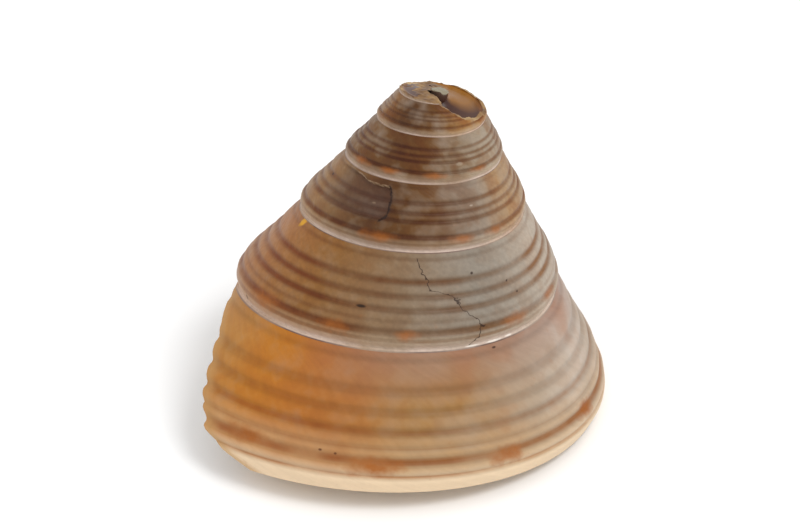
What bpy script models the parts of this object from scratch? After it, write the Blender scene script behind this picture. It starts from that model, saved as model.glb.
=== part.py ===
"""A top shell that stands on its base, with the tip broken off.

The shell is one solid. Every whorl follows one outline that turns about the axis and grows by
WHORL_GROWTH each turn, measured from the virtual tip where the cone would close. Each row of
points lies along a growth line, so the last row is the outer lip itself. Turn 0 faces the front
just below the break, and growth goes to the left there, as on any right-handed shell.
"""
import math

import bmesh
import bpy
from mathutils import Matrix, Vector

MM = 0.001

# The cone at turn 0, and how much each turn grows
SUTURE_RADIUS = 2.35 * MM
SUTURE_DEPTH = 4.08 * MM
WHORL_GROWTH = 1.4427

# The first turn lies in the lost tip, and the last one ends at the lip
FIRST_TURN = -1.5
LIP_TURN = 4.25
STEPS_PER_TURN = 32
# A growth line falls back by this many steps between one suture and the next
GROWTH_LINE_STEPS = 5

# Outline from one suture to the next: place along the slant, and height off it, both as shares
# of the slant. It rises over five spiral cords and tucks in under the widest one.
WHORL_OUTLINE = [
    (0.0, 0.0), (0.05, 0.012), (0.12, 0.020), (0.20, 0.031), (0.28, 0.024), (0.36, 0.045),
    (0.43, 0.038), (0.49, 0.058), (0.56, 0.050), (0.65, 0.080), (0.72, 0.076), (0.79, 0.058),
    (0.85, 0.074), (0.90, 0.060), (0.94, 0.014), (0.965, -0.012),
]
# Place along the slant, and how far the growth line has fallen back there, in turns
GROWTH_LINE_ON_WALL = [
    (0.0, 0.0), (0.2, 0.040), (0.4, 0.060), (0.6, 0.078), (0.82, 0.100), (0.9, 0.122), (1.0, 0.15625),
]
# Share of the way from keel to columella, and the same fall there
GROWTH_LINE_ON_BASE = [(0.0, 0.15625), (0.12, 0.12), (0.3, 0.085), (0.5, 0.06), (1.0, 0.04)]

# The base runs from under the keel to the columella, with a slight swell and five low cords
COLUMELLA_RADIUS = 0.26 * MM
COLUMELLA_DEPTH = 5.00 * MM
BASE_SWELL = 0.22 * MM
BASE_CORDS = 5
BASE_CORD_HEIGHT = 0.022 * MM
BASE_SHARES = [step / (2 * BASE_CORDS) for step in range(1, 2 * BASE_CORDS + 1)]
# The columella ends in a blunt tip, a little higher than the base around it at the lip
COLUMELLA_TIP_SHARE = 0.97

# The wall is thicker low down, and only a thin glaze lies on the roof of each whorl's hollow
WALL_AT_TURN_0 = 0.36 * MM
WALL_PER_TURN = 0.06 * MM
GLAZE = 0.28 * MM
# How far the outer wall bulges off the slant on average, as a share of the slant
WALL_BULGE = 0.045
# The hollow's outer wall ends this far down the slant
WALL_SPAN = 0.8
# Places round the hollow's ring: down the wall, in along the floor, out under the roof
WALL_SHARES = [0.06, 0.36, 0.66, 0.94]
FLOOR_SHARES = [0.08, 0.36, 0.64, 0.92]
ROOF_SHARES = [0.08, 0.50, 0.90]
# The mouth is closed this many turns inside the lip before the hollow is cut
MOUTH_INSET = 0.03
# The hollow starts inside the lost tip, and its cutter runs on past the lip
HOLLOW_START_STEP = 6
HOLLOW_STEPS_PAST_LIP = 3

# Depth of the break below the virtual tip, clockwise from the front seen from above
BREAK_DEPTHS = [4.05, 3.95, 3.82, 3.95, 4.20, 4.40, 4.57, 4.62, 4.60, 4.72, 4.74, 4.68, 4.60, 4.30]
BREAK_CUTTER_RADIUS = 5 * MM

# At rest the axis leans, and the front is where the outer lip makes the left edge
LEAN = math.radians(11.0)
LEAN_LOW_SIDE = math.radians(-132.4)
FRONT_SPIN = math.radians(-3.7)


def place_at(turn, radius, depth):
    """Return the point at this turn, grown to its size there."""
    angle = -math.pi / 2 - 2 * math.pi * turn
    size = WHORL_GROWTH ** turn
    return Vector((size * radius * math.cos(angle), size * radius * math.sin(angle), -size * depth))


def fall_back(growth_line, place):
    """Return how far, in turns, the growth line lies behind its start at the suture."""
    for (start, low), (end, high) in zip(growth_line, growth_line[1:]):
        if place <= end:
            break
    return low + (high - low) * (place - start) / (end - start)


def outline_point(place, height):
    """Return radius and depth of an outline point, at its size on turn 0."""
    along = 1 + (WHORL_GROWTH - 1) * place
    out = (WHORL_GROWTH - 1) * height
    return SUTURE_RADIUS * along + SUTURE_DEPTH * out, SUTURE_DEPTH * along - SUTURE_RADIUS * out


def base_point(share):
    """Return radius and depth of a base point, from the keel at 0 to the columella at 1."""
    radius, depth = outline_point(*WHORL_OUTLINE[-1])
    radius += (COLUMELLA_RADIUS - radius) * share
    depth += (COLUMELLA_DEPTH - depth) * share
    depth += BASE_SWELL * math.sin(math.pi * share)
    depth += BASE_CORD_HEIGHT * math.sin(math.pi * BASE_CORDS * share) ** 2
    return radius, depth


def new_object(name, bm):
    """Make an object from the bmesh, with its faces pointing out."""
    bmesh.ops.recalc_face_normals(bm, faces=bm.faces)
    mesh = bpy.data.meshes.new(name)
    bm.to_mesh(mesh)
    bm.free()
    obj = bpy.data.objects.new(name, mesh)
    bpy.context.scene.collection.objects.link(obj)
    return obj


def fill_fan(bm, loop, centre):
    """Close a loop of points with triangles to one point in its middle."""
    hub = bm.verts.new(centre)
    for first, second in zip(loop, loop[1:] + loop[:1]):
        bm.faces.new((first, second, hub))


def crossing(start, along, other_start, other_along):
    """Return where two lines in the plane of radius and depth cross."""
    gap = other_start - start
    return start + along * (gap.cross(other_along) / along.cross(other_along))


def hollow_section(turn):
    """Return one closed ring of the hollow, along a growth line."""
    size = WHORL_GROWTH ** turn
    wall = (WALL_AT_TURN_0 + WALL_PER_TURN * turn) / size
    slant = Vector((SUTURE_RADIUS, SUTURE_DEPTH)).normalized()
    wall_start = Vector(outline_point(0, WALL_BULGE)) + Vector((-slant.y, slant.x)) * wall
    floor_start = Vector(outline_point(*WHORL_OUTLINE[-1])) - Vector((0, wall))
    floor_end = Vector((COLUMELLA_RADIUS, COLUMELLA_DEPTH - wall))
    roof_start = Vector(outline_point(*WHORL_OUTLINE[-1])) / WHORL_GROWTH + Vector((0, GLAZE / size))
    roof_end = Vector((COLUMELLA_RADIUS, COLUMELLA_DEPTH)) / WHORL_GROWTH + Vector((0, GLAZE / size))
    column = Vector((COLUMELLA_RADIUS + wall, 0))
    down = Vector((0, 1))
    top_out = crossing(wall_start, slant, roof_start, roof_end - roof_start)
    low_out = crossing(wall_start, slant, floor_start, floor_end - floor_start)
    low_in = crossing(column, down, floor_start, floor_end - floor_start)
    top_in = crossing(column, down, roof_start, roof_end - roof_start)

    ring = []
    for share in WALL_SHARES:
        radius, depth = top_out.lerp(low_out, share)
        place = WALL_SPAN * share
        ring.append(place_at(turn - fall_back(GROWTH_LINE_ON_WALL, place), radius, depth))
    for share in FLOOR_SHARES:
        radius, depth = low_out.lerp(low_in, share)
        swell = BASE_SWELL * math.sin(math.pi * share)
        ring.append(place_at(turn - fall_back(GROWTH_LINE_ON_BASE, share), radius, depth + swell))
    for share in ROOF_SHARES:
        radius, depth = top_in.lerp(top_out, share)
        swell = BASE_SWELL / WHORL_GROWTH * math.sin(math.pi * share)
        ring.append(place_at(turn, radius, depth + swell))
    return ring


def make_outside():
    """Make the shell as a solid body: whorls, base, and a plain face across the aperture."""
    bm = bmesh.new()
    last = round((LIP_TURN - FIRST_TURN) * STEPS_PER_TURN)
    turn_back = STEPS_PER_TURN - GROWTH_LINE_STEPS
    turns = [FIRST_TURN + row / STEPS_PER_TURN for row in range(last + 1)]
    rows = []
    for turn in turns:
        points = [place_at(turn - fall_back(GROWTH_LINE_ON_WALL, place), *outline_point(place, height))
                  for place, height in WHORL_OUTLINE]
        rows.append([bm.verts.new(point) for point in points])
    for row in range(last - turn_back + 1):
        rows[row].append(rows[row + turn_back][0])
    open_rows = range(last - turn_back, last + 1)
    base = {}
    for row in open_rows:
        keel = rows[row][len(WHORL_OUTLINE) - 1]
        points = [place_at(turns[row] - fall_back(GROWTH_LINE_ON_BASE, share), *base_point(share))
                  for share in BASE_SHARES]
        base[row] = [keel] + [bm.verts.new(point) for point in points]

    for first, second in zip(rows, rows[1:]):
        for corner in range(min(len(first), len(second)) - 1):
            bm.faces.new((first[corner], first[corner + 1], second[corner + 1], second[corner]))
    for row in open_rows[:-1]:
        for a, b, c, d in zip(base[row], base[row][1:], base[row + 1][1:], base[row + 1]):
            bm.faces.new((a, b, c, d))

    tip = bm.verts.new((0, 0, place_at(LIP_TURN, 0, COLUMELLA_DEPTH * COLUMELLA_TIP_SHARE).z))
    for row in open_rows[:-1]:
        bm.faces.new((base[row][-1], base[row + 1][-1], tip))
    rim = rows[last] + base[last][1:] + [tip] + base[open_rows[0]][::-1]
    mouth = hollow_section(LIP_TURN - MOUTH_INSET)
    fill_fan(bm, rim, sum(mouth, Vector()) / len(mouth))
    start = rows[0][:-1] + [rows[row][0] for row in range(turn_back, -1, -1)][:-1]
    fill_fan(bm, start, (0, 0, place_at(FIRST_TURN, 0, SUTURE_DEPTH).z))
    return new_object("shell", bm)


def make_hollow():
    """Make the spiral hollow as a closed tube that runs out past the lip."""
    bm = bmesh.new()
    first = HOLLOW_START_STEP
    last = round((LIP_TURN - FIRST_TURN) * STEPS_PER_TURN) + HOLLOW_STEPS_PAST_LIP
    rings = []
    for row in range(first, last + 1):
        points = hollow_section(FIRST_TURN + row / STEPS_PER_TURN)
        rings.append([bm.verts.new(point) for point in points])
    for one, two in zip(rings, rings[1:]):
        for a, b, c, d in zip(one, one[1:] + one[:1], two[1:] + two[:1], two):
            bm.faces.new((a, b, c, d))
    for ring in (rings[0], rings[-1]):
        centre = sum((vert.co for vert in ring), Vector()) / len(ring)
        fill_fan(bm, ring, centre)
    return new_object("hollow_cutter", bm)


def make_break():
    """Make the cutter that takes the tip off along a ragged edge."""
    bm = bmesh.new()
    count = len(BREAK_DEPTHS)
    low_ring = []
    top_ring = []
    for step, depth in enumerate(BREAK_DEPTHS):
        angle = -math.pi / 2 - 2 * math.pi * step / count
        x = BREAK_CUTTER_RADIUS * math.cos(angle)
        y = BREAK_CUTTER_RADIUS * math.sin(angle)
        low_ring.append(bm.verts.new((x, y, -depth * MM)))
        top_ring.append(bm.verts.new((x, y, 0)))
    for a, b, c, d in zip(low_ring, low_ring[1:] + low_ring[:1], top_ring[1:] + top_ring[:1], top_ring):
        bm.faces.new((a, b, c, d))
    fill_fan(bm, low_ring, (0, 0, -sum(BREAK_DEPTHS) / count * MM))
    fill_fan(bm, top_ring, (0, 0, 0))
    return new_object("break_cutter", bm)


def cut(body, cutter):
    """Cut the body with a cutter that stays out of the finished part."""
    cutter.hide_render = True
    cutter.display_type = "WIRE"
    boolean = body.modifiers.new(cutter.name, "BOOLEAN")
    boolean.operation = "DIFFERENCE"
    boolean.solver = "EXACT"
    boolean.object = cutter


def shell_material():
    """Return the plain tan of the worn shell."""
    material = bpy.data.materials.new("worn_shell")
    material.use_nodes = True
    shader = material.node_tree.nodes["Principled BSDF"]
    shader.inputs["Base Color"].default_value = (0.42, 0.27, 0.15, 1)
    shader.inputs["Roughness"].default_value = 0.42
    shader.inputs["Metallic"].default_value = 0.0
    return material


def stand_up(objects, body):
    """Turn the shell to its resting pose and set the middle of its foot on the origin."""
    low = Vector((math.cos(LEAN_LOW_SIDE), math.sin(LEAN_LOW_SIDE), 0))
    lean = Matrix.Rotation(-LEAN, 4, Vector((0, 0, 1)).cross(low))
    turned = Matrix.Rotation(FRONT_SPIN, 4, "Z") @ lean
    for obj in objects:
        obj.data.transform(turned)
    bpy.context.view_layer.update()
    finished = body.evaluated_get(bpy.context.evaluated_depsgraph_get())
    points = [vert.co for vert in finished.data.vertices]
    xs, ys, zs = zip(*points)
    offset = Vector(((min(xs) + max(xs)) / 2, (min(ys) + max(ys)) / 2, min(zs)))
    for obj in objects:
        obj.location = -offset


for old in list(bpy.data.objects):
    bpy.data.objects.remove(old)

shell = make_outside()
hollow = make_hollow()
lost_tip = make_break()
cut(shell, hollow)
cut(shell, lost_tip)
stand_up([shell, hollow, lost_tip], shell)
shell.data.materials.append(shell_material())
shell.data.shade_smooth()
shell.data.set_sharp_from_angle(angle=math.radians(50))
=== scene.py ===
import math

import bmesh
import bpy
import numpy as np
from mathutils import Matrix, Vector, noise


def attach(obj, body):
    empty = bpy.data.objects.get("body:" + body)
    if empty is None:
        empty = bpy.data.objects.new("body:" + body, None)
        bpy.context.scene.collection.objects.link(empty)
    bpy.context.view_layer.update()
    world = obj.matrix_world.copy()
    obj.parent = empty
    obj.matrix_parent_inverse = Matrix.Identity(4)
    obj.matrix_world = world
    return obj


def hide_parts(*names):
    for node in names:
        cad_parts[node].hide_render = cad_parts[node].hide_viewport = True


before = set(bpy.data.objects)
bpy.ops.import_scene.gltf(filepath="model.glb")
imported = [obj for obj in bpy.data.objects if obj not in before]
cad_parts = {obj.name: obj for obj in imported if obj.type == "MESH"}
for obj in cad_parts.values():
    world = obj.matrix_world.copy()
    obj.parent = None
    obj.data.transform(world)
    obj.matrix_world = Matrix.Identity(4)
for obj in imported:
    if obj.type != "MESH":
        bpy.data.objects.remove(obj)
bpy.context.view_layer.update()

# The camera
# A long lens at a quarter of a metre looks down on the front, from the angle of the photograph.
# Its place is measured from the point where the cone of the shell would close.
MM = 0.001
TIP = Vector((3.0, 4.1835, 24.3768)) * MM
CAMERA_DISTANCE = 250 * MM
CAMERA_ELEVATION = math.radians(29.4)
LENS = 180
SENSOR = 36
NEAREST_SEEN = 10 * MM
PICTURE_WIDTH = 800
PICTURE_HEIGHT = 532
TIP_PIXEL = (447.9, 30.3)

toward = Vector((0, math.cos(CAMERA_ELEVATION), -math.sin(CAMERA_ELEVATION)))
upward = Vector((0, math.sin(CAMERA_ELEVATION), math.cos(CAMERA_ELEVATION)))
pixels_per_radian = PICTURE_WIDTH * LENS / SENSOR
aim_left = (TIP_PIXEL[0] - PICTURE_WIDTH / 2) / pixels_per_radian
aim_down = (PICTURE_HEIGHT / 2 - TIP_PIXEL[1]) / pixels_per_radian
aim = toward - Vector((1, 0, 0)) * aim_left - upward * aim_down
camera_turn = aim.to_track_quat("-Z", "Y").to_euler()
bpy.ops.object.camera_add(location=TIP - toward * CAMERA_DISTANCE, rotation=camera_turn)
camera = bpy.context.object
camera.data.lens = LENS
camera.data.sensor_width = SENSOR
camera.data.clip_start = NEAREST_SEEN
bpy.context.scene.camera = camera
bpy.context.scene.view_settings.view_transform = "Standard"


# The shell's form
# A top shell is one sheet of aragonite that the animal laid down at its lip, turn after turn.
# So the mesh is a flat grid, one column for each growth step, rolled up into the whorls. Its
# edge at the suture meets the whorl above, and the last turn runs on over the base.
SUTURE_RADIUS = 2.35 * MM
SUTURE_DEPTH = 4.08 * MM
WHORL_GROWTH = 1.4427
FIRST_TURN = -0.875
STEPS_PER_TURN = 192
STEPS_TO_LIP = 981
LIP_TURN = FIRST_TURN + STEPS_TO_LIP / STEPS_PER_TURN
GROWTH_LINE_STEPS = 30
WALL_ROWS = 56
BASE_ROWS = 30
KEEL_PLACE = 0.965
# Width of a whorl's slant at turn 0, to which heights and places are given as shares
SLANT = math.hypot(SUTURE_RADIUS, SUTURE_DEPTH) * (WHORL_GROWTH - 1)

# Height of the wall over its cords, without the grooves between them
WALL_SWELL = [
    (0.0, 0.0), (0.05, 0.013), (0.12, 0.024), (0.20, 0.033), (0.36, 0.047), (0.49, 0.061), (0.65, 0.081),
    (0.73, 0.081), (0.85, 0.077), (0.90, 0.062), (0.94, 0.016), (KEEL_PLACE, -0.012), (1.0, 0.0),
]
# Each groove: its place on turns 0 to 4, its depth there, and its half width
GROOVE_TURNS = range(5)
GROOVES = [
    ((0.06, 0.06, 0.055, 0.06, 0.055), (0.0, 0.0, 0.005, 0.007, 0.008), 0.022),
    ((0.25, 0.27, 0.28, 0.295, 0.275), (0.016, 0.018, 0.020, 0.016, 0.014), 0.032),
    ((0.40, 0.415, 0.43, 0.445, 0.42), (0.012, 0.017, 0.018, 0.017, 0.015), 0.029),
    ((0.52, 0.54, 0.555, 0.585, 0.56), (0.017, 0.020, 0.021, 0.019, 0.018), 0.029),
    ((0.70, 0.70, 0.70, 0.70, 0.67), (0.0, 0.0, 0.0, 0.005, 0.012), 0.020),
    ((0.73, 0.76, 0.78, 0.81, 0.76), (0.022, 0.024, 0.025, 0.024, 0.022), 0.032),
    ((0.88, 0.88, 0.885, 0.89, 0.865), (0.0, 0.004, 0.008, 0.012, 0.018), 0.018),
]
# Depth of a groove that carries the whole of the groove's colour
FULL_COLOUR_GROOVE = 0.02
# How far the growth line has fallen back, in turns, down the wall and in over the base
FALL_ON_WALL = [
    (0.0, 0.0), (0.2, 0.040), (0.4, 0.060), (0.6, 0.078), (0.82, 0.100), (0.9, 0.122), (1.0, 0.15625),
]
FALL_ON_BASE = [(0.0, 0.1443), (0.12, 0.12), (0.3, 0.085), (0.5, 0.06), (1.0, 0.04)]
COLUMELLA_RADIUS = 0.26 * MM
COLUMELLA_DEPTH = 5.00 * MM
COLUMELLA_TIP_SHARE = 0.97
BASE_SWELL = 0.22 * MM
BASE_CORDS = 5
BASE_CORD_HEIGHT = 0.022 * MM
LEAN = math.radians(11.0)
LEAN_LOW_SIDE = math.radians(-132.4)
FRONT_SPIN = math.radians(-3.7)


def curve_at(points, x):
    """Return a smooth curve through the points, read at each x."""
    xs, ys = np.array(points).T
    slopes = np.gradient(ys, xs)
    cell = np.clip(np.searchsorted(xs, x, side="right") - 1, 0, len(xs) - 2)
    width = xs[cell + 1] - xs[cell]
    share = (x - xs[cell]) / width
    start = ys[cell] + (x - xs[cell]) * slopes[cell]
    end = ys[cell + 1] - (xs[cell + 1] - x) * slopes[cell + 1]
    blend = share * share * (3 - 2 * share)
    return start + (end - start) * blend


def soft_step(low, high, x):
    """Return 0 below low, 1 above high, and a smooth rise between."""
    share = np.clip((x - low) / (high - low), 0, 1)
    return share * share * (3 - 2 * share)


def noise_at(scale_u, scale_v, seed, u, v):
    """Return smooth noise from about -1 to 1 over two coordinates."""
    flat = zip((u * scale_u).ravel(), (v * scale_v).ravel())
    return np.array([noise.noise(Vector((a, b, seed))) for a, b in flat]).reshape(u.shape)


def on_shell(turn, radius, depth):
    """Return the points at these turns, each grown to its size there and set up as it rests."""
    angle = -math.pi / 2 - 2 * math.pi * turn
    size = WHORL_GROWTH ** turn
    points = np.stack([size * radius * np.cos(angle), size * radius * np.sin(angle), -size * depth], -1)
    low = Vector((math.cos(LEAN_LOW_SIDE), math.sin(LEAN_LOW_SIDE), 0))
    lean = Matrix.Rotation(-LEAN, 3, Vector((0, 0, 1)).cross(low))
    turned = Matrix.Rotation(FRONT_SPIN, 3, "Z") @ lean
    return points @ np.array(turned).T + np.array(TIP)


def outline(place, height):
    """Return radius and depth, at their size on turn 0, of a point on the wall's slant."""
    along = 1 + (WHORL_GROWTH - 1) * place
    out = (WHORL_GROWTH - 1) * height
    return SUTURE_RADIUS * along + SUTURE_DEPTH * out, SUTURE_DEPTH * along - SUTURE_RADIUS * out


def base_outline(share):
    """Return radius and depth of a base point, from the keel at 0 to the columella at 1."""
    radius, depth = outline(KEEL_PLACE, WALL_SWELL[-2][1])
    swell = BASE_SWELL * np.sin(math.pi * share)
    cords = BASE_CORD_HEIGHT * np.sin(math.pi * BASE_CORDS * share) ** 2
    inward = COLUMELLA_RADIUS - radius
    return radius + inward * share, depth + (COLUMELLA_DEPTH - depth) * share + swell + cords


def grooves_at(turn, place):
    """Return the depth of the grooves between the cords, as a share of the slant."""
    depth = np.zeros_like(place)
    for places, depths, half_width in GROOVES:
        middle = np.interp(turn, GROOVE_TURNS, places)
        deepest = np.interp(turn, GROOVE_TURNS, depths)
        depth += deepest * np.exp(-(((place - middle) / half_width) ** 2))
    return depth


def lay_sheet(name, columns, rows):
    """Add a flat grid and return it with each point's column and row number."""
    bpy.ops.object.select_all(action="DESELECT")
    bpy.ops.mesh.primitive_grid_add(x_subdivisions=columns, y_subdivisions=rows, size=2)
    sheet = bpy.context.object
    sheet.name = name
    flat = np.empty(3 * len(sheet.data.vertices))
    sheet.data.vertices.foreach_get("co", flat)
    column = np.rint((flat[0::3] + 1) / 2 * columns).astype(int)
    row = np.rint((flat[1::3] + 1) / 2 * rows).astype(int)
    return sheet, column, row


def roll_up(sheet, points, maps):
    """Move the grid's points to their places and write its UV maps, one value pair a point."""
    mesh = sheet.data
    mesh.vertices.foreach_set("co", points.ravel())
    mesh.update()
    corner = np.empty(len(mesh.loops), dtype=int)
    mesh.loops.foreach_get("vertex_index", corner)
    while mesh.uv_layers:
        mesh.uv_layers.remove(mesh.uv_layers[0])
    for name, (u, v) in maps.items():
        layer = mesh.uv_layers.new(name=name)
        layer.data.foreach_set("uv", np.stack([u[corner], v[corner]], -1).ravel())


# Orange-brown blotches along the widest cord: turn, place down the wall, half length, half height
BLOTCHES = [
    (0.88, 0.80, 0.018, 0.05), (0.98, 0.82, 0.018, 0.05), (1.08, 0.82, 0.018, 0.05),
    (1.155, 0.82, 0.020, 0.06), (1.35, 0.82, 0.018, 0.05), (1.60, 0.82, 0.018, 0.05),
    (1.87, 0.82, 0.014, 0.05), (1.935, 0.82, 0.018, 0.05), (2.055, 0.82, 0.022, 0.06),
    (2.35, 0.82, 0.020, 0.05), (2.52, 0.82, 0.016, 0.05), (2.66, 0.82, 0.018, 0.05),
    (2.805, 0.82, 0.012, 0.05), (2.87, 0.82, 0.014, 0.05), (2.995, 0.83, 0.010, 0.04),
    (3.07, 0.82, 0.012, 0.05), (3.155, 0.83, 0.016, 0.07), (3.30, 0.82, 0.014, 0.05),
    (3.42, 0.82, 0.012, 0.05), (3.55, 0.82, 0.016, 0.05), (3.68, 0.80, 0.014, 0.05),
    (3.815, 0.77, 0.010, 0.05), (3.908, 0.80, 0.010, 0.05), (4.005, 0.80, 0.014, 0.05),
    (4.10, 0.74, 0.012, 0.04),
]


def blotches_at(turn, place):
    """Return the field of the blotches: 1 in the middle of one, 0.5 on its edge."""
    field = np.zeros_like(place)
    for middle_turn, middle_place, half_turn, half_place in BLOTCHES:
        far = np.hypot((turn - middle_turn) / half_turn, (place - middle_place) / half_place)
        field = np.maximum(field, 1 - 0.5 * far)
    return np.clip(field, 0, 1)


# A worn patch on turn 2, where an old break healed: it lies lower than the wall to its right.
# Its top and right edges are steps, and it fades out to the left and at its foot.
PATCH_TOP = [(2.055, 0.13), (2.065, 0.10), (2.078, 0.07), (2.106, 0.08), (2.129, 0.04), (2.165, 0.01)]
PATCH_RIGHT = [(0.08, 2.068), (0.16, 2.061), (0.24, 2.057), (0.40, 2.054), (0.52, 2.055), (0.60, 2.060)]
PATCH_LEFT = 2.24
PATCH_LEFT_FADE = 0.10
PATCH_FOOT = 0.66
PATCH_FOOT_FADE = 0.14
PATCH_DEPTH = 0.28 * MM
PATCH_TOP_STEP = 0.04
PATCH_RIGHT_STEP = 0.005
PATCH_TOP_WANDER = 0.016
PATCH_TOP_RISE = 0.2


def patch_at(turn, place):
    """Return how far each point lies in the sunken patch, on its right edge and on its top edge."""
    ragged = PATCH_TOP_WANDER * noise_at(60, 14, 3.3, turn, place)
    upper = np.interp(turn, *np.array(PATCH_TOP).T) + ragged
    edge = np.interp(place, *np.array(PATCH_RIGHT).T)
    left = 1 - soft_step(PATCH_LEFT - PATCH_LEFT_FADE, PATCH_LEFT, turn)
    right = soft_step(edge - PATCH_RIGHT_STEP, edge + PATCH_RIGHT_STEP, turn)
    below = soft_step(upper, upper + PATCH_TOP_STEP, place)
    fade = left * (1 - soft_step(PATCH_FOOT - PATCH_FOOT_FADE, PATCH_FOOT, place))
    on_right_edge = 4 * fade * right * (1 - right) * below
    on_top_edge = 4 * fade * right * below * (1 - below)
    return fade * right * below, on_right_edge, on_top_edge


# Heights of the wear: broad waves, finer ones, and ridges that run with the growth lines
BROAD_WAVES = 0.030 * MM
FINE_WAVES = 0.016 * MM
GROWTH_RIDGES = 0.012 * MM
# Wear grows from the suture to this place down the wall, and dies out between the other two
WORN_FROM = 0.04
WORN_TO = (0.93, 0.96)


def wall_relief(row_turn, turn, place):
    """Return the wall's height as a share of the slant, with its grooves, wear and old breaks."""
    size = WHORL_GROWTH ** turn
    height = curve_at(WALL_SWELL, place)
    grooves = grooves_at(turn, place)
    fade = soft_step(0.0, WORN_FROM, place) * (1 - soft_step(*WORN_TO, place))
    waves = BROAD_WAVES * noise_at(6, 2.2, 1.7, turn, place) + FINE_WAVES * noise_at(17, 6, 5.1, turn, place)
    growth = GROWTH_RIDGES * noise_at(60, 1.5, 9.3, row_turn, place)
    patch, _, top_edge = patch_at(turn, place)
    worn = (waves + growth) * np.sqrt(size) - PATCH_DEPTH * (patch - PATCH_TOP_RISE * top_edge)
    return height - grooves + fade * worn / (SLANT * size), grooves


# How far a groove notches the thin lip, in turns, and how far back its notch reaches
LIP_NOTCH = 0.0015
LIP_NOTCH_REACH = 0.05
# Depth of a groove that makes a whole notch, and how many of them the longest is
NOTCH_GROOVE = 0.015
LONGEST_NOTCH = 1.2

turn_back = STEPS_PER_TURN - GROWTH_LINE_STEPS
wall_places = np.linspace(0, KEEL_PLACE, WALL_ROWS + 1)


def make_sheet(name, first, last, open_turn):
    """Roll one sheet of the wall, with the base below it where the turn is open."""
    base_shares = np.linspace(0, 1, BASE_ROWS + 1)[1:]
    rows = WALL_ROWS + (BASE_ROWS + 1 if open_turn else 1)
    sheet, column, row = lay_sheet(name, last - first, rows)
    row_turn = FIRST_TURN + (first + column) / STEPS_PER_TURN
    on_wall = row <= WALL_ROWS
    place = np.where(on_wall, wall_places[np.minimum(row, WALL_ROWS)], 1.0)
    turn = row_turn - np.interp(place, *np.array(FALL_ON_WALL).T)
    height, grooves = wall_relief(row_turn, turn, place)
    notch = soft_step(LIP_TURN - LIP_NOTCH_REACH, LIP_TURN, row_turn) * LIP_NOTCH
    notched_turn = turn - notch * np.clip(grooves / NOTCH_GROOVE, 0, LONGEST_NOTCH)
    radius, depth = outline(place, height)
    real_turn = np.where(on_wall, notched_turn, turn)
    down = place
    if open_turn:
        share = np.where(on_wall, 0, base_shares[np.clip(row - WALL_ROWS - 1, 0, BASE_ROWS - 1)])
        below_radius, below_depth = base_outline(share)
        below_turn = row_turn - np.interp(share, *np.array(FALL_ON_BASE).T)
        radius = np.where(on_wall, radius, below_radius)
        depth = np.where(on_wall, depth, below_depth)
        real_turn = np.where(on_wall, real_turn, below_turn)
        down = np.where(on_wall, place, 1 + share)
    points = on_shell(real_turn, radius, depth)
    if open_turn:
        tip_depth = np.array([COLUMELLA_DEPTH * COLUMELLA_TIP_SHARE])
        tip = on_shell(np.array([LIP_TURN]), np.zeros(1), tip_depth)
        points = np.where((row == rows)[:, None], tip, points)
    patch, right_edge, top_edge = patch_at(real_turn, down)
    maps = {
        "growth": (real_turn, down),
        "line": (row_turn, np.clip(grooves / FULL_COLOUR_GROOVE, 0, 1)),
        "marks": (blotches_at(real_turn, down), patch),
        "edges": (right_edge, top_edge),
    }
    roll_up(sheet, points, maps)
    return sheet


WELD_DISTANCE = 0.002 * MM
SHORTEST_EDGE = 0.0005 * MM


def close_ends(obj, hub_at=None):
    """Weld the sheet to itself, and close each open end with a fan of faces coloured as its edge.

    The edges stay in lists, so that the faces come in the same order each run.
    """
    mesh = bmesh.new()
    mesh.from_mesh(obj.data)
    bmesh.ops.remove_doubles(mesh, verts=mesh.verts, dist=WELD_DISTANCE)
    bmesh.ops.dissolve_degenerate(mesh, edges=mesh.edges, dist=SHORTEST_EDGE)
    left = [edge for edge in mesh.edges if edge.is_boundary]
    while left:
        loop = []
        near = left[:1]
        while near:
            loop.extend(near)
            left = [edge for edge in left if edge not in near]
            ends = {vert for edge in near for vert in edge.verts}
            near = [edge for edge in left if ends.intersection(edge.verts)]
        verts = list(dict.fromkeys(vert for edge in loop for vert in edge.verts))
        hub = mesh.verts.new(hub_at or sum((vert.co for vert in verts), Vector()) / len(verts))
        for edge in loop:
            beside = {corner.vert: corner for corner in edge.link_faces[0].loops}
            face = mesh.faces.new((*edge.verts, hub))
            for corner in face.loops:
                source = beside.get(corner.vert, beside[edge.verts[0]])
                for layer in mesh.loops.layers.uv.values():
                    corner[layer].uv = source[layer].uv
    bmesh.ops.recalc_face_normals(mesh, faces=mesh.faces)
    mesh.to_mesh(obj.data)
    mesh.free()


shell = make_sheet("top_shell", 0, STEPS_TO_LIP - turn_back, False)
last_sheet = make_sheet("last_turn", STEPS_TO_LIP - turn_back, STEPS_TO_LIP, True)
bpy.ops.object.select_all(action="DESELECT")
shell.select_set(True)
last_sheet.select_set(True)
bpy.context.view_layer.objects.active = shell
bpy.ops.object.join()
close_ends(shell)


# The hollow
# The animal lined the inside with mother-of-pearl, so the hollow's faces carry a material of
# their own. The wall is 0.4 to 0.6 mm thick, thicker low down and thin along the lip.
WALL_AT_TURN_0 = 0.36 * MM
WALL_PER_TURN = 0.06 * MM
GLAZE = 0.28 * MM
LIP_THINNING = 0.25
LIP_THINNING_REACH = 0.12
# Share of its thickness that the wall has before the first of these turns, whole after the last
YOUNG_WALL = 0.48
YOUNG_TURNS = (0.1, 0.9)
HOLLOW_STEPS_PER_TURN = 64
HOLLOW_FIRST_TURN = -0.42
HOLLOW_LAST_TURN = 4.34
SEALED_FIRST_TURN = -1.20
SEPTUM_TURN = -0.52
RING_POINTS = 36
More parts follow.
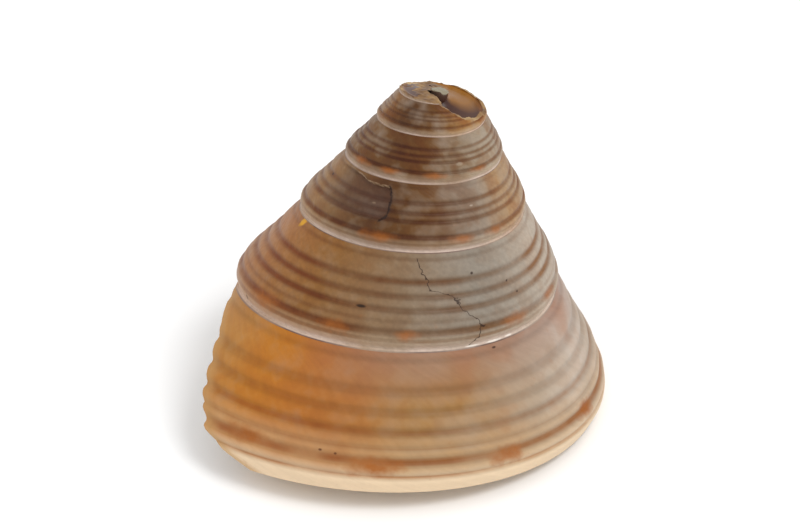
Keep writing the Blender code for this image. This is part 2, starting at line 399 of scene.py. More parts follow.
# Where the ring runs: places down the wall, then shares of the base for the floor and the roof
WALL_SPAN = (0.06, 0.80)
FLOOR_SPAN = (0.06, 0.86)
ROOF_SPAN = (0.80, 0.08)
CORNER_ROUND = 0.12
WALL_POINTS = 6
BASE_POINTS = 5
# How far the growth line has fallen back along the columella, in turns
COLUMELLA_FALL = np.array([0.03, 0.01])
COLUMELLA_WALL_SHARE = 0.8
# Extra wall round the broken stump of the columella, which thins away over these turns
STUMP_WALL = 0.18 * MM
STUMP_TURNS = (0.0, 0.6)


def hollow_ring(turn):
    """Return one ring of the hollow: down the wall, in along the floor and out under the roof."""
    size = WHORL_GROWTH ** turn
    thin = 1 - LIP_THINNING * soft_step(LIP_TURN - LIP_THINNING_REACH, LIP_TURN, turn)
    thin *= YOUNG_WALL + (1 - YOUNG_WALL) * soft_step(*YOUNG_TURNS, turn)
    wall = (WALL_AT_TURN_0 + WALL_PER_TURN * turn) / size * thin
    glaze = GLAZE / size * thin
    corner = CORNER_ROUND * thin / size
    places = np.linspace(WALL_SPAN[0] + corner, WALL_SPAN[1] - corner, WALL_POINTS)
    radius, depth = outline(places, curve_at(WALL_SWELL, places) - wall / SLANT)
    turns = turn - np.interp(places, *np.array(FALL_ON_WALL).T)
    floor_shares = np.linspace(FLOOR_SPAN[0] + corner / 2, FLOOR_SPAN[1], BASE_POINTS)
    floor_radius, floor_depth = base_outline(floor_shares)
    floor_depth = floor_depth - wall
    floor_turns = turn - np.interp(floor_shares, *np.array(FALL_ON_BASE).T)
    roof_shares = np.linspace(ROOF_SPAN[0], ROOF_SPAN[1] + corner * 2 / 3, BASE_POINTS)
    roof_radius, roof_depth = base_outline(roof_shares)
    roof_radius, roof_depth = roof_radius / WHORL_GROWTH, roof_depth / WHORL_GROWTH + glaze
    column_depth = (2 * floor_depth[-1] + roof_depth[0]) / 3, (floor_depth[-1] + 2 * roof_depth[0]) / 3
    stump = STUMP_WALL / size * (1 - soft_step(*STUMP_TURNS, turn)) * (turn > SEPTUM_TURN)
    radius = np.concatenate([radius, floor_radius, [0, 0], roof_radius])
    radius = np.maximum(radius, COLUMELLA_RADIUS + COLUMELLA_WALL_SHARE * wall + stump)
    depth = np.concatenate([depth, floor_depth, column_depth, roof_depth])
    roof_turns = np.full(BASE_POINTS, turn)
    turns = np.concatenate([turns, floor_turns, turn - COLUMELLA_FALL, roof_turns])
    around = np.arange(len(radius) + 1) / len(radius)
    share = np.arange(RING_POINTS) / RING_POINTS
    closed = [list(zip(around, np.append(values, values[0]))) for values in (turns, radius, depth)]
    return [curve_at(points, share) for points in closed]


def make_hollow(name, from_turn, to_turn):
    """Roll a closed tube of the hollow's rings between two turns."""
    columns = round((to_turn - from_turn) * HOLLOW_STEPS_PER_TURN)
    tube, column, row = lay_sheet(name, columns, RING_POINTS)
    points = np.empty((len(column), 3))
    for step in range(columns + 1):
        ring = hollow_ring(from_turn + step / HOLLOW_STEPS_PER_TURN)
        here = column == step
        points[here] = on_shell(*[values[row[here] % RING_POINTS] for values in ring])
    inner_turn = from_turn + column / HOLLOW_STEPS_PER_TURN
    share = row / RING_POINTS
    maps = {
        "growth": (inner_turn, share),
        "line": (inner_turn, 0 * share),
        "marks": (0 * share, share),
    }
    roll_up(tube, points, maps)
    close_ends(tube)
    return tube


# A thin septum shuts the first whorls off from the rest
hollow = make_hollow("hollow", HOLLOW_FIRST_TURN, HOLLOW_LAST_TURN)
sealed_tip = make_hollow("sealed_tip", SEALED_FIRST_TURN, SEPTUM_TURN)


# The broken tip
# The tip was knocked off across the first whorls, and its ragged edge was never worn smooth.
# A funnel with a ragged skin, which reaches up to the point of the cone, is cut away there.
# Depth of the break in millimetres below that point, clockwise from the front seen from above
BREAK_DEPTHS = [3.92, 3.88, 4.04, 4.18, 4.60, 4.98, 5.16, 5.18, 5.20, 5.40, 5.50, 5.50, 5.44, 5.04]
MIDDLE_DEPTH = 4.12
# Half width, height and edge of the six-sided stump of the columella, in millimetres
STUMP_SIDES = 6
STUMP_HALF = 0.58
STUMP_HEIGHT = 0.14
STUMP_EDGE = 0.04
# Heights of the coarse and fine teeth of the break, and how calm it is in the middle
COARSE_TEETH = 0.12
FINE_TEETH = 0.08
MIDDLE_CALM = 0.3
CALM_TO_RAGGED = (0.1, 0.35)
BREAK_RADIUS = 5
BREAK_RINGS = 40
BREAK_SPOKES = 112
# Rings lie closer together towards the middle, where the stump is
RING_CROWDING = 1.5

lost_tip, column, row = lay_sheet("lost_tip", BREAK_SPOKES, BREAK_RINGS)
around = column / BREAK_SPOKES
out = (row / BREAK_RINGS) ** RING_CROWDING
count = len(BREAK_DEPTHS)
rim_depth = np.interp(around * count, range(count + 1), BREAK_DEPTHS + BREAK_DEPTHS[:1])
angle = -2 * math.pi * around
break_x = out * BREAK_RADIUS * np.cos(angle)
break_y = out * BREAK_RADIUS * np.sin(angle)
ragged = COARSE_TEETH * noise_at(1.4, 1.4, 2.1, break_x, break_y)
ragged += FINE_TEETH * noise_at(4.5, 4.5, 8.4, break_x, break_y)
ragged *= MIDDLE_CALM + (1 - MIDDLE_CALM) * soft_step(*CALM_TO_RAGGED, out)
off_side = 2 * math.pi * ((STUMP_SIDES * around) % 1 - 0.5) / STUMP_SIDES
to_side = out * BREAK_RADIUS * np.cos(off_side)
stump = STUMP_HEIGHT * (1 - soft_step(STUMP_HALF - STUMP_EDGE, STUMP_HALF + STUMP_EDGE, to_side))
break_depth = (MIDDLE_DEPTH + (rim_depth - MIDDLE_DEPTH) * out + ragged - stump) * MM
size = WHORL_GROWTH ** around
points = on_shell(around, out * BREAK_RADIUS * MM / size, break_depth / size)
maps = {
    "growth": (around, out),
    "line": (around, 0 * out),
    "marks": (to_side, out),
}
roll_up(lost_tip, points, maps)
close_ends(lost_tip, TIP)


# What the surfaces are made of
# The outside is aragonite that has lost its skin and was rubbed to a satin finish by sand, with
# its brown and lilac bands faded. Grooves keep the darker colour that the cords have lost.
UMBER = "#4e3014"
BROWN = "#62401b"
SEPIA = "#7e5629"
TAUPE = "#7c6750"
LILAC_GREY = "#a7947f"
TAN = "#987040"
RUST = "#986536"
WARM_GREY = "#837a6e"
AMBER = "#a16225"
GLOW = "#ac6b1b"
FADED_AMBER = "#a97638"
CREAM = "#e0c8a8"
PALE_TAN = "#c09c72"
SUTURE_RED = "#4a241b"
CRACK_BROWN = "#2c180e"
CHIP_WHITE = "#ece4da"
PIT_BLACK = "#1c100a"
PIT_BROWN = "#33201a"
YELLOW_GRAIN = "#dca010"
SMEAR = "#94806a"
NOTCH_BROWN = "#5a3018"


def linear(hex_colour):
    """Return a colour written as sRGB hex in the linear values that a shader takes."""
    parts = [int(hex_colour[start:start + 2], 16) / 255 for start in (1, 3, 5)]
    return (*[part / 12.92 if part <= 0.04045 else ((part + 0.055) / 1.055) ** 2.4 for part in parts], 1.0)


def add(tree, kind, inputs=None, stops=None, points=None, **settings):
    """Add a node with its settings, and link or fill each input, by its name or number.

    A Map Range takes 0, the value, 1 and 2, what it runs from and to, and 3 and 4, what comes out.
    A Mix of colours takes 0, its factor, and 6 and 7, the two colours.
    """
    node = tree.nodes.new("ShaderNode" + kind)
    for name, value in settings.items():
        setattr(node, name, value)
    for name, value in (inputs or {}).items():
        if isinstance(value, bpy.types.NodeSocket):
            tree.links.new(value, node.inputs[name])
        else:
            node.inputs[name].default_value = value
    if stops:
        ramp = node.color_ramp.elements
        ramp.remove(ramp[1])
        for index, (place, colour) in enumerate(stops):
            element = ramp[0] if index == 0 else ramp.new(place)
            element.position = place
            element.color = linear(colour)
    if points:
        curve = node.mapping.curves[0]
        curve.points[0].location, curve.points[1].location = points[0], points[-1]
        for point in points[1:-1]:
            curve.points.new(*point)
        for point in curve.points:
            point.handle_type = "VECTOR"
        node.mapping.update()
    return node


def new_material(name, **values):
    """Return a material and its shader, with the constant values set on the shader's sockets."""
    material = bpy.data.materials.new(name)
    material.use_nodes = True
    shader = material.node_tree.nodes["Principled BSDF"]
    for socket, value in values.items():
        shader.inputs[socket.replace("_", " ")].default_value = value
    return material, shader


outside, shader = new_material("worn_aragonite_shell", IOR=1.5, Metallic=0.0, Specular_IOR_Level=0.18)
tree = outside.node_tree
growth = add(tree, "SeparateXYZ", {0: add(tree, "UVMap", uv_map="growth").outputs[0]})
line = add(tree, "SeparateXYZ", {0: add(tree, "UVMap", uv_map="line").outputs[0]})
marks = add(tree, "SeparateXYZ", {0: add(tree, "UVMap", uv_map="marks").outputs[0]})
here = add(tree, "TexCoord").outputs["Object"]
turn = growth.outputs[0]
place = growth.outputs[1]

# Colour along the coil, by turn: each whorl is pale lilac-grey on the right and browner on the left, partly
# its own colour and partly painted light on the lit right and painted shade on the left
ALONG_COIL = [
    (-1.0, BROWN), (-0.12, TAN), (0.0, BROWN), (0.10, UMBER), (0.2, SEPIA), (0.5, TAUPE),
    (0.84, "#988874"), (0.92, TAUPE), (1.0, BROWN), (1.08, "#58391a"), (1.2, "#6e4c26"), (1.5, TAUPE),
    (1.83, "#9c7c58"), (1.90, "#86786a"), (1.98, BROWN), (2.08, UMBER), (2.2, "#8c6a44"), (2.5, TAUPE),
    (2.80, "#a89a8a"), (2.91, WARM_GREY), (3.0, TAUPE), (3.10, SEPIA), (3.22, RUST), (3.5, TAUPE),
    (3.81, "#baab9c"), (3.87, LILAC_GREY), (3.94, TAN), (3.98, TAN), (4.06, AMBER), (4.12, GLOW),
    (4.17, FADED_AMBER), (4.25, "#b28852"),
]
first, last = ALONG_COIL[0][0], ALONG_COIL[-1][0]
along = add(tree, "MapRange", {0: turn, 1: first, 2: last})
coil_stops = [((at - first) / (last - first), colour) for at, colour in ALONG_COIL]
colour = add(tree, "ValToRGB", {0: along.outputs[0]}, stops=coil_stops).outputs[0]

# Soft patches of rust and of grey dapple the shell, most of all its first whorls
DAPPLE_WIDTH = 1.613 * MM
dapple = add(tree, "TexNoise", {
    "Vector": here, "Scale": 1 / DAPPLE_WIDTH, "Detail": 2.5, "Roughness": 0.55,
}).outputs[0]
rusty = add(tree, "MapRange", {0: dapple, 1: 0.40, 2: 0.54, 3: 0.60, 4: 0.0}).outputs[0]
greyer = add(tree, "MapRange", {0: dapple, 1: 0.50, 2: 0.72, 3: 0.0, 4: 0.45}).outputs[0]
plain_body = add(tree, "MapRange", {0: turn, 1: 1.3, 2: 2.6, 3: 0.9, 4: 0.3}).outputs[0]
rusty = add(tree, "Math", {0: rusty, 1: plain_body}, operation="MULTIPLY").outputs[0]
greyer = add(tree, "Math", {0: greyer, 1: plain_body}, operation="MULTIPLY").outputs[0]
colour = add(tree, "Mix", {0: rusty, 6: colour, 7: linear("#d49c5c")}, data_type="RGBA",
             blend_type="MULTIPLY").outputs[2]
colour = add(tree, "Mix", {0: greyer, 6: colour, 7: linear("#9c9084")}, data_type="RGBA").outputs[2]

# Below its middle the body whorl is paler, because its low cords are worn
body = add(tree, "MapRange", {0: turn, 1: 3.3, 2: 3.75}).outputs[0]
low_cords = add(tree, "MapRange", {0: place, 1: 0.56, 2: 0.70, 3: 0.0, 4: 0.5}).outputs[0]
low_cords = add(tree, "Math", {0: low_cords, 1: body}, operation="MULTIPLY").outputs[0]
colour = add(tree, "Mix", {0: low_cords, 6: colour, 7: linear(PALE_TAN)}, data_type="RGBA").outputs[2]

# Soft clouds of rust and of grey drift over the body whorl
CLOUD_WIDTH = 5.263 * MM
clouds = add(tree, "TexNoise", {"Vector": here, "Scale": 1 / CLOUD_WIDTH, "Detail": 2.0}).outputs[0]
off_amber = add(tree, "MapRange", {0: turn, 1: 4.02, 2: 3.92}).outputs[0]
off_amber = add(tree, "Math", {0: body, 1: off_amber}, operation="MULTIPLY").outputs[0]
for thin_at, thick_at, spread, tint in ((0.50, 0.38, body, "#a0622a"), (0.52, 0.64, off_amber, "#a28d76")):
    cloud = add(tree, "MapRange", {0: clouds, 1: thin_at, 2: thick_at, 3: 0.0, 4: 0.5}).outputs[0]
    cloud = add(tree, "Math", {0: cloud, 1: spread}, operation="MULTIPLY").outputs[0]
    colour = add(tree, "Mix", {0: cloud, 6: colour, 7: linear(tint)}, data_type="RGBA").outputs[2]

# A purple tinge lies under the last suture
tinge = add(tree, "MapRange", {0: place, 1: 0.0, 2: 0.40, 3: 0.6, 4: 0.0}).outputs[0]
away_from_lip = add(tree, "MapRange", {0: turn, 1: 4.10, 2: 4.02}).outputs[0]
tinge = add(tree, "Math", {0: tinge, 1: away_from_lip}, operation="MULTIPLY").outputs[0]
tinge = add(tree, "Math", {0: tinge, 1: body}, operation="MULTIPLY").outputs[0]
colour = add(tree, "Mix", {0: tinge, 6: colour, 7: linear("#8a6658")}, data_type="RGBA").outputs[2]

# The widest cord is paler, and the foot of the body whorl and the base are bleached to cream
band = add(tree, "MapRange", {0: place, 1: 0.80, 2: 0.90}).outputs[0]
bleached = add(tree, "MapRange", {0: body, 3: 0.22, 4: 0.9}).outputs[0]
band = add(tree, "Math", {0: band, 1: bleached}, operation="MULTIPLY").outputs[0]
colour = add(tree, "Mix", {0: band, 6: colour, 7: linear(CREAM)}, data_type="RGBA").outputs[2]

# On the base, flecks of brown follow its fine spiral cords
FLECK_LENGTH = 2.381 * MM
base_cord = add(tree, "Math", {0: place, 1: BASE_CORDS}, operation="MULTIPLY").outputs[0]
base_cord = add(tree, "Math", {0: base_cord, 1: 0.5}, operation="PINGPONG").outputs[0]
base_cord = add(tree, "MapRange", {0: base_cord, 1: 0.02, 2: 0.28, 3: 0.5, 4: 0.0}).outputs[0]
on_base = add(tree, "MapRange", {0: place, 1: 1.03, 2: 1.10}).outputs[0]
base_cord = add(tree, "Math", {0: base_cord, 1: on_base}, operation="MULTIPLY").outputs[0]
flecks = add(tree, "TexNoise", {"Vector": here, "Scale": 1 / FLECK_LENGTH, "Detail": 2.0}).outputs[0]
flecks = add(tree, "MapRange", {0: flecks, 1: 0.42, 2: 0.66}).outputs[0]
base_cord = add(tree, "Math", {0: base_cord, 1: flecks}, operation="MULTIPLY").outputs[0]
colour = add(tree, "Mix", {0: base_cord, 6: colour, 7: linear("#9c6a3c")}, data_type="RGBA").outputs[2]

# Grooves keep a deeper brown, in patches, and fade out where the body whorl is smooth
GROOVE_PATCH_LENGTH = 3.846 * MM
patchy = add(tree, "TexNoise", {
    "Vector": here, "Scale": 1 / GROOVE_PATCH_LENGTH, "Detail": 3.0,
}).outputs[0]
patchy = add(tree, "MapRange", {0: patchy, 1: 0.32, 2: 0.6, 3: 0.25, 4: 1.0}).outputs[0]
# Cords are lighter on their crests and darker in the grooves: partly the colour worn off the cords, partly a
# painted highlight along the crests
crest_wear_and_highlight = add(tree, "MapRange", {0: line.outputs[1], 1: 0.0, 2: 0.35, 3: 1.12, 4: 0.94}).outputs[0]
colour = add(tree, "VectorMath", {0: colour, "Scale": crest_wear_and_highlight}, operation="SCALE").outputs[0]
narrow_from = add(tree, "MapRange", {0: body, 3: 0.02, 4: 0.40}).outputs[0]
narrow_to = add(tree, "MapRange", {0: body, 3: 0.75, 4: 0.98}).outputs[0]
groove = add(tree, "MapRange", {0: line.outputs[1], 1: narrow_from, 2: narrow_to}).outputs[0]
groove = add(tree, "Math", {0: groove, 1: patchy}, operation="MULTIPLY").outputs[0]
fade_from = add(tree, "MapRange", {0: body, 3: 0.0, 4: 0.42}).outputs[0]
fade_to = add(tree, "MapRange", {0: body, 3: 0.1, 4: 0.66}).outputs[0]
lower_down = add(tree, "MapRange", {0: place, 1: fade_from, 2: fade_to, 3: 0.25, 4: 0.95}).outputs[0]
groove = add(tree, "Math", {0: groove, 1: lower_down}, operation="MULTIPLY").outputs[0]
colour = add(tree, "Mix", {0: groove, 6: colour, 7: linear("#d2a06c")}, data_type="RGBA",
             blend_type="MULTIPLY").outputs[2]

# Orange-brown blotches on the widest cord, with ragged edges
BLOTCH_RAG = 0.7143 * MM
edge = add(tree, "TexNoise", {"Vector": here, "Scale": 1 / BLOTCH_RAG, "Detail": 3.0}).outputs[0]
edge = add(tree, "MapRange", {0: edge, 3: -0.5, 4: 0.5}).outputs[0]
blotch = add(tree, "Math", {0: marks.outputs[0], 1: edge}, operation="ADD").outputs[0]
densest = add(tree, "MapRange", {0: body, 3: 0.62, 4: 0.9}).outputs[0]
blotch = add(tree, "MapRange", {0: blotch, 1: 0.15, 2: 0.85, 3: 0.0, 4: densest}).outputs[0]
colour = add(tree, "Mix", {0: blotch, 6: colour, 7: linear("#9c581c")}, data_type="RGBA").outputs[2]

# The healed patch is darker and purple-brown, partly its own colour and partly painted shade in the sunken
# patch, with a dark right edge and a pale top edge
# Darker fill of the patch: partly its own purple-brown, partly painted shade in the sunken patch beside its
# step
patch = add(tree, "Math", {0: marks.outputs[1], 1: 0.6}, operation="MULTIPLY").outputs[0]
colour = add(tree, "Mix", {0: patch, 6: colour, 7: linear("#4a2f24")}, data_type="RGBA").outputs[2]
edges = add(tree, "SeparateXYZ", {0: add(tree, "UVMap", uv_map="edges").outputs[0]})
for edge_share, tint in ((edges.outputs[0], "#2c1a12"), (edges.outputs[1], "#b89c7c")):
    ledge = add(tree, "MapRange", {0: edge_share, 1: 0.3, 2: 0.9, 3: 0.0, 4: 0.65}).outputs[0]
    colour = add(tree, "Mix", {0: ledge, 6: colour, 7: linear(tint)}, data_type="RGBA").outputs[2]

# Over each suture runs a pale lilac rim, palest at its foot, where a painted highlight line runs, and the
# suture is a thin dark line.
# Each band has its first and full place down the wall, its strength and its colour.
RIM_HIGHLIGHT_AND_SUTURE_BANDS = [
    (0.90, 0.94, 0.42, "#cdb1a4"),
    # The palest band is a painted highlight along the foot of the rim
    (0.94, 0.96, 0.40, "#e6d6ca"),
    (0.982, 0.992, 0.85, SUTURE_RED),
]
on_spire = add(tree, "Math", {0: turn, 1: LIP_TURN - 1}, operation="LESS_THAN").outputs[0]
for low, high, strength, tint in RIM_HIGHLIGHT_AND_SUTURE_BANDS:
    rim_and_highlight = add(tree, "MapRange", {0: place, 1: low, 2: high, 3: 0.0, 4: strength}).outputs[0]
    rim_and_highlight = add(tree, "Math", {0: rim_and_highlight, 1: on_spire}, operation="MULTIPLY").outputs[0]
    rim_and_highlight = add(tree, "Math", {0: rim_and_highlight, 1: patchy}, operation="MULTIPLY").outputs[0]
    colour = add(tree, "Mix", {0: rim_and_highlight, 6: colour, 7: linear(tint)}, data_type="RGBA").outputs[2]

# Two cracks: one down turn 3, and one along the right edge of the healed patch. Each has the turn
# that it is measured from, its half width in turns, how dark it is, and its path: place down the
# wall, and how many turns it lies right of that turn.
CRACKS = [
    (3.0, 0.0013, 0.85, [
        (0.05, 0.005), (0.20, 0.012), (0.28, 0.022), (0.38, 0.026), (0.42, 0.045),
        (0.47, 0.058), (0.60, 0.063), (0.72, 0.078), (0.80, 0.086), (0.88, 0.080), (0.95, 0.074),
    ]),
    (2.08, 0.0030, 0.95, [
        (0.08, 0.012), (0.16, 0.019), (0.24, 0.023), (0.40, 0.026), (0.52, 0.024), (0.60, 0.018),
    ]),
]
CRACK_JAG_LENGTH = 0.4545 * MM
CRACK_JAG_TURNS = 0.009
# The curve holds the offsets this many times larger
CURVE_GAIN = 10
# Places over which a crack starts at its top and dies out below its foot
CRACK_START = 0.01
CRACK_END = 0.03
jagged = add(tree, "TexNoise", {"Vector": here, "Scale": 1 / CRACK_JAG_LENGTH, "Detail": 2.0}).outputs[0]
jagged = add(tree, "MapRange", {0: jagged, 3: -CRACK_JAG_TURNS, 4: CRACK_JAG_TURNS}).outputs[0]
for crack_turn, half_width, ink, crack_path in CRACKS:
    path_points = [(at, CURVE_GAIN * off) for at, off in crack_path]
    route = add(tree, "FloatCurve", {"Value": place}, points=path_points).outputs[0]
    to_right = add(tree, "Math", {0: crack_turn, 1: turn}, operation="SUBTRACT").outputs[0]
    route = add(tree, "Math", {0: route, 1: 1 / CURVE_GAIN, 2: jagged}, operation="MULTIPLY_ADD").outputs[0]
    gap = add(tree, "Math", {0: to_right, 1: route}, operation="SUBTRACT").outputs[0]
    gap = add(tree, "Math", {0: gap}, operation="ABSOLUTE").outputs[0]
    crack = add(tree, "MapRange", {0: gap, 1: 0.4 * half_width, 2: half_width, 3: ink, 4: 0.0}).outputs[0]
    top, foot = crack_path[0][0], crack_path[-1][0]
    for low, high in ((top - CRACK_START, top + CRACK_START), (foot + CRACK_END, foot)):
        end = add(tree, "MapRange", {0: place, 1: low, 2: high}).outputs[0]
        crack = add(tree, "Math", {0: crack, 1: end}, operation="MULTIPLY").outputs[0]
    colour = add(tree, "Mix", {0: crack, 6: colour, 7: linear(CRACK_BROWN)}, data_type="RGBA").outputs[2]

# Small marks: turn, place, half length and half height in millimetres, colour
SPECKS = [
    (2.925, 0.976, 0.50, 0.06, CHIP_WHITE),
    (2.900, 0.978, 0.60, 0.07, CHIP_WHITE),
    (2.880, 0.974, 0.30, 0.06, CHIP_WHITE),
    (3.048, 0.58, 0.32, 0.11, PIT_BLACK),
    (3.194, 0.02, 0.30, 0.45, YELLOW_GRAIN),
    (2.216, 0.28, 0.12, 0.10, "#2a1a14"),
    (3.189, 0.93, 0.14, 0.12, PIT_BROWN),
    (2.921, 0.24, 0.10, 0.10, PIT_BROWN),
    (2.871, 0.42, 0.08, 0.08, PIT_BROWN),
    (2.860, 0.57, 0.08, 0.08, PIT_BROWN),
    (0.928, 0.60, 0.24, 0.13, SMEAR),
    (0.900, 0.46, 0.12, 0.08, SMEAR),
    (1.910, 0.36, 0.13, 0.06, "#a39282"),
    (2.086, 0.36, 0.14, 0.06, "#7c6450"),
    (4.044, 0.72, 0.12, 0.08, NOTCH_BROWN),
    (4.033, 0.73, 0.10, 0.08, NOTCH_BROWN),
    (3.902, 0.03, 0.16, 0.08, "#3a2018"),
]
SPECK_STRENGTH = 0.85
# Reach of a speck, in shares of its half size, where it starts to fade and where it ends
SPECK_FADE = (0.6, 1.15)
# How much wider a whorl is at the foot of its wall than at the top
WALL_WIDENING = 0.44
for speck_turn, speck_place, half_length, half_height, speck_colour in SPECKS:
    grown = WHORL_GROWTH ** speck_turn
    around_mm = 2 * math.pi * SUTURE_RADIUS * grown * (1 + WALL_WIDENING * speck_place) / MM
    down_mm = SLANT * grown / MM
    sideways = add(tree, "Math", {0: turn, 1: speck_turn}, operation="SUBTRACT").outputs[0]
    sideways = add(tree, "Math", {0: sideways, 1: around_mm / half_length}, operation="MULTIPLY").outputs[0]
    downward = add(tree, "Math", {0: place, 1: speck_place}, operation="SUBTRACT").outputs[0]
    downward = add(tree, "Math", {0: downward, 1: down_mm / half_height}, operation="MULTIPLY").outputs[0]
    offset = add(tree, "CombineXYZ", {0: sideways, 1: downward, 2: edge}).outputs[0]
    reach = add(tree, "VectorMath", {0: offset}, operation="LENGTH").outputs["Value"]
    speck = add(tree, "MapRange", {
        0: reach, 1: SPECK_FADE[0], 2: SPECK_FADE[1], 3: SPECK_STRENGTH, 4: 0.0,
    }).outputs[0]
    colour = add(tree, "Mix", {0: speck, 6: colour, 7: linear(speck_colour)}, data_type="RGBA").outputs[2]

# The margin of the lip is so thin that it is translucent tan
MARGIN_FROM = LIP_TURN - 0.014
MARGIN_TO = LIP_TURN - 0.004
margin = add(tree, "MapRange", {
    0: line.outputs[0], 1: MARGIN_FROM, 2: MARGIN_TO, 3: 0.0, 4: 0.6,
}).outputs[0]
colour = add(tree, "Mix", {0: margin, 6: colour, 7: linear("#b98e58")}, data_type="RGBA").outputs[2]

# Growth lines cross the cords as streaks, 0.1 mm apart at the tip and 0.5 mm at the lip, and
# the worn surface has a fine grain
GROWTH_LINES_PER_TURN = 150
STREAKS_DOWN_WALL = 6
GRAIN_WIDTH = 0.2632 * MM
streak_space = add(tree, "CombineXYZ", {0: line.outputs[0], 1: place}).outputs[0]
stretched = add(tree, "Mapping", {
    "Vector": streak_space, "Scale": (GROWTH_LINES_PER_TURN, STREAKS_DOWN_WALL, 1),
})
streaks = add(tree, "TexNoise", {"Vector": stretched.outputs[0], "Scale": 1.0, "Detail": 5.0}).outputs[0]
lighter = add(tree, "MapRange", {0: streaks, 1: 0.3, 2: 0.7, 3: 0.86, 4: 0.94}).outputs[0]
colour = add(tree, "VectorMath", {0: colour, "Scale": lighter}, operation="SCALE").outputs[0]
grain = add(tree, "TexNoise", {"Vector": here, "Scale": 1 / GRAIN_WIDTH, "Detail": 2.0}).outputs[0]
grain_low = add(tree, "MapRange", {0: body, 3: 0.93, 4: 0.985}).outputs[0]
grain_high = add(tree, "MapRange", {0: body, 3: 1.07, 4: 1.015}).outputs[0]
grain = add(tree, "MapRange", {0: grain, 1: 0.3, 2: 0.7, 3: grain_low, 4: grain_high}).outputs[0]
colour = add(tree, "VectorMath", {0: colour, "Scale": grain}, operation="SCALE").outputs[0]
tree.links.new(colour, shader.inputs["Base Color"])
gloss = add(tree, "MapRange", {0: patchy, 3: 0.36, 4: 0.5}).outputs[0]
tree.links.new(gloss, shader.inputs["Roughness"])
STREAK_RELIEF = 0.04 * MM
bump = add(tree, "Bump", {"Height": streaks, "Distance": STREAK_RELIEF, "Strength": 0.6})
tree.links.new(bump.outputs[0], shader.inputs["Normal"])
shell.data.materials.append(outside)

# Mother-of-pearl lines the hollow: smooth and silvery deep inside, and brown in the first whorls, which the
# broken tip lets one look into, with a painted amber glow of light through the thin outer wall and painted
# shade darkening the floor
PEARL_CLOUD_WIDTH = 3.333 * MM
pearl, shader = new_material("nacre_lining", IOR=1.65, Roughness=0.36, Specular_IOR_Level=0.2)
tree = pearl.node_tree
here = add(tree, "TexCoord").outputs["Object"]
inner = add(tree, "SeparateXYZ", {0: add(tree, "UVMap", uv_map="growth").outputs[0]})
cloud = add(tree, "TexNoise", {"Vector": here, "Scale": 1 / PEARL_CLOUD_WIDTH, "Detail": 3.0}).outputs[0]
silver_stops = [(0.35, "#cbb08a"), (0.5, "#dccbb2"), (0.68, "#d8d2cc")]
silvery = add(tree, "ValToRGB", {0: cloud}, stops=silver_stops).outputs[0]
# Share of the way round the hollow: outer wall to 0.33, floor to 0.6, columella to 0.7, roof to 1
# The outer wall is a painted amber glow of light through the thin shell, and the dark floor is painted shade
lining_glow_and_shade_stops = [
    (0.0, "#9c5a1e"), (0.27, "#a8621f"), (0.36, "#4a2818"),
    (0.58, "#40231a"), (0.75, "#6a5446"), (1.0, "#8c5a2c"),
]
lining_glow_and_shade = add(tree, "ValToRGB", {0: inner.outputs[1]}, stops=lining_glow_and_shade_stops).outputs[0]
# A painted amber glow on the back wall, where light comes through the thin shell
back = add(tree, "MapRange", {0: inner.outputs[0], 1: -0.24, 2: -0.14, 3: 0.85, 4: 0.0}).outputs[0]
BEYOND_SEPTUM = SEPTUM_TURN + 0.05
in_opening = add(tree, "Math", {0: inner.outputs[0], 1: BEYOND_SEPTUM}, operation="GREATER_THAN").outputs[0]
back = add(tree, "Math", {0: back, 1: in_opening}, operation="MULTIPLY").outputs[0]
lining_glow_and_shade = add(tree, "Mix", {0: back, 6: lining_glow_and_shade, 7: linear("#8e5c14")}, data_type="RGBA").outputs[2]
deeper = add(tree, "MapRange", {0: inner.outputs[0], 1: 0.8, 2: 1.6}).outputs[0]
lining = add(tree, "Mix", {0: deeper, 6: lining_glow_and_shade, 7: silvery}, data_type="RGBA").outputs[2]
tree.links.new(lining, shader.inputs["Base Color"])
hollow.data.materials.append(pearl)
sealed_tip.data.materials.append(pearl)

# The break shows the wall's prismatic layer, chalky cream with darker grains. On the stump of the
# columella lies a grey plate with a dark line round it.
CHALK_GRAIN = 1.25 * MM
chalk, shader = new_material("broken_shell_edge", IOR=1.5, Roughness=0.5, Specular_IOR_Level=0.3)
tree = chalk.node_tree
here = add(tree, "TexCoord").outputs["Object"]
grain = add(tree, "TexNoise", {"Vector": here, "Scale": 1 / CHALK_GRAIN, "Detail": 4.0}).outputs[0]
chalk_stops = [(0.35, "#5e4026"), (0.5, "#8a683e"), (0.68, "#b0946a")]
chalky = add(tree, "ValToRGB", {0: grain}, stops=chalk_stops).outputs[0]
across = add(tree, "SeparateXYZ", {0: add(tree, "UVMap", uv_map="marks").outputs[0]}).outputs[0]
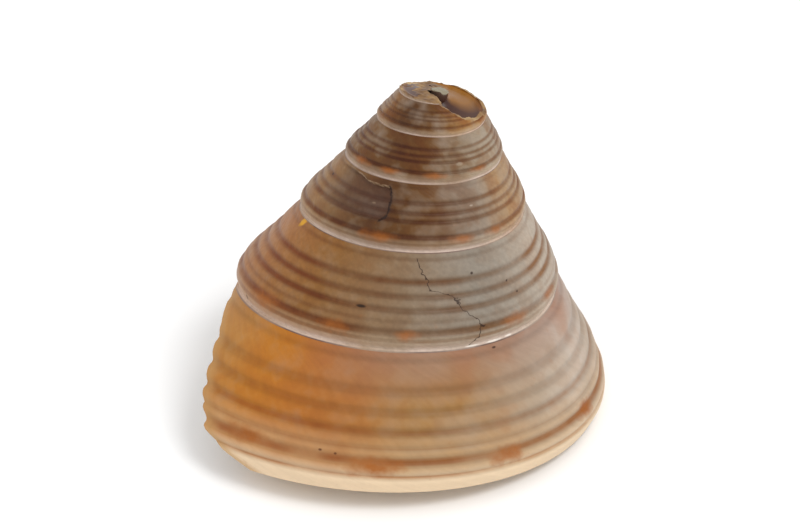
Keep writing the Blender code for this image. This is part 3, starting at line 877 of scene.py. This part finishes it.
# Each tone of the stump: where it starts to fade and where it ends, in millimetres, and its colour
STUMP_TONES = [
    (STUMP_HALF + 0.02, STUMP_HALF + 0.06, "#54402e"),
    (STUMP_HALF - 0.04, STUMP_HALF, "#8e8670"),
]
for inner_edge, outer_edge, tint in STUMP_TONES:
    plate = add(tree, "MapRange", {0: across, 1: inner_edge, 2: outer_edge, 3: 0.85, 4: 0.0}).outputs[0]
    chalky = add(tree, "Mix", {0: plate, 6: chalky, 7: linear(tint)}, data_type="RGBA").outputs[2]
tree.links.new(chalky, shader.inputs["Base Color"])
lost_tip.data.materials.append(chalk)

# The break and both parts of the hollow are cut out of the shell, with their own materials
SHARP_FROM = math.radians(40)
for cutter in (lost_tip, hollow, sealed_tip):
    bpy.ops.object.select_all(action="DESELECT")
    shell.select_set(True)
    bpy.context.view_layer.objects.active = shell
    boolean = shell.modifiers.new(cutter.name, "BOOLEAN")
    boolean.operation = "DIFFERENCE"
    boolean.solver = "EXACT"
    boolean.material_mode = "TRANSFER"
    boolean.object = cutter
    bpy.ops.object.modifier_apply(modifier=boolean.name)
    bpy.data.objects.remove(cutter)
shell.data.validate()
bpy.ops.object.shade_smooth_by_angle(angle=SHARP_FROM)
shell.location = (0, 0, 0)

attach(shell, "root")
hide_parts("shell")


# The studio
# A white table runs out of sight under a white tent, and two large soft lamps give the sheen.
TABLE_WIDTH = 3
WHITE = (1, 1, 1, 1)
TABLE_WHITE = (0.95, 0.95, 0.95, 1)
TENT_STRENGTH = 0.90
bpy.ops.mesh.primitive_plane_add(size=TABLE_WIDTH)
floor = bpy.context.object
floor.name = "white_table"
table, shader = new_material("matt_white_laminate", Roughness=0.7, Base_Color=TABLE_WHITE)
floor.data.materials.append(table)

world = bpy.data.worlds.new("white_tent")
world.use_nodes = True
tent = world.node_tree.nodes["Background"]
tent.inputs["Color"].default_value = WHITE
tent.inputs["Strength"].default_value = TENT_STRENGTH
bpy.context.scene.world = world

middle = Vector((0, 0, 10)) * MM
# Each lamp: where it stands from the shell in metres, its width and its power
LAMPS = [((0.26, -0.20, 0.50), 0.28, 1.4), ((-0.45, -0.15, 0.30), 0.30, 0.3)]
for number, (offset, width, power) in enumerate(LAMPS):
    stand = middle + Vector(offset)
    lamp_turn = (middle - stand).to_track_quat("-Z", "Y").to_euler()
    bpy.ops.object.light_add(type="AREA", location=stand, rotation=lamp_turn)
    lamp = bpy.context.object
    lamp.name = "soft_lamp_%d" % number
    lamp.data.shape = "DISK"
    lamp.data.size = width
    lamp.data.energy = power
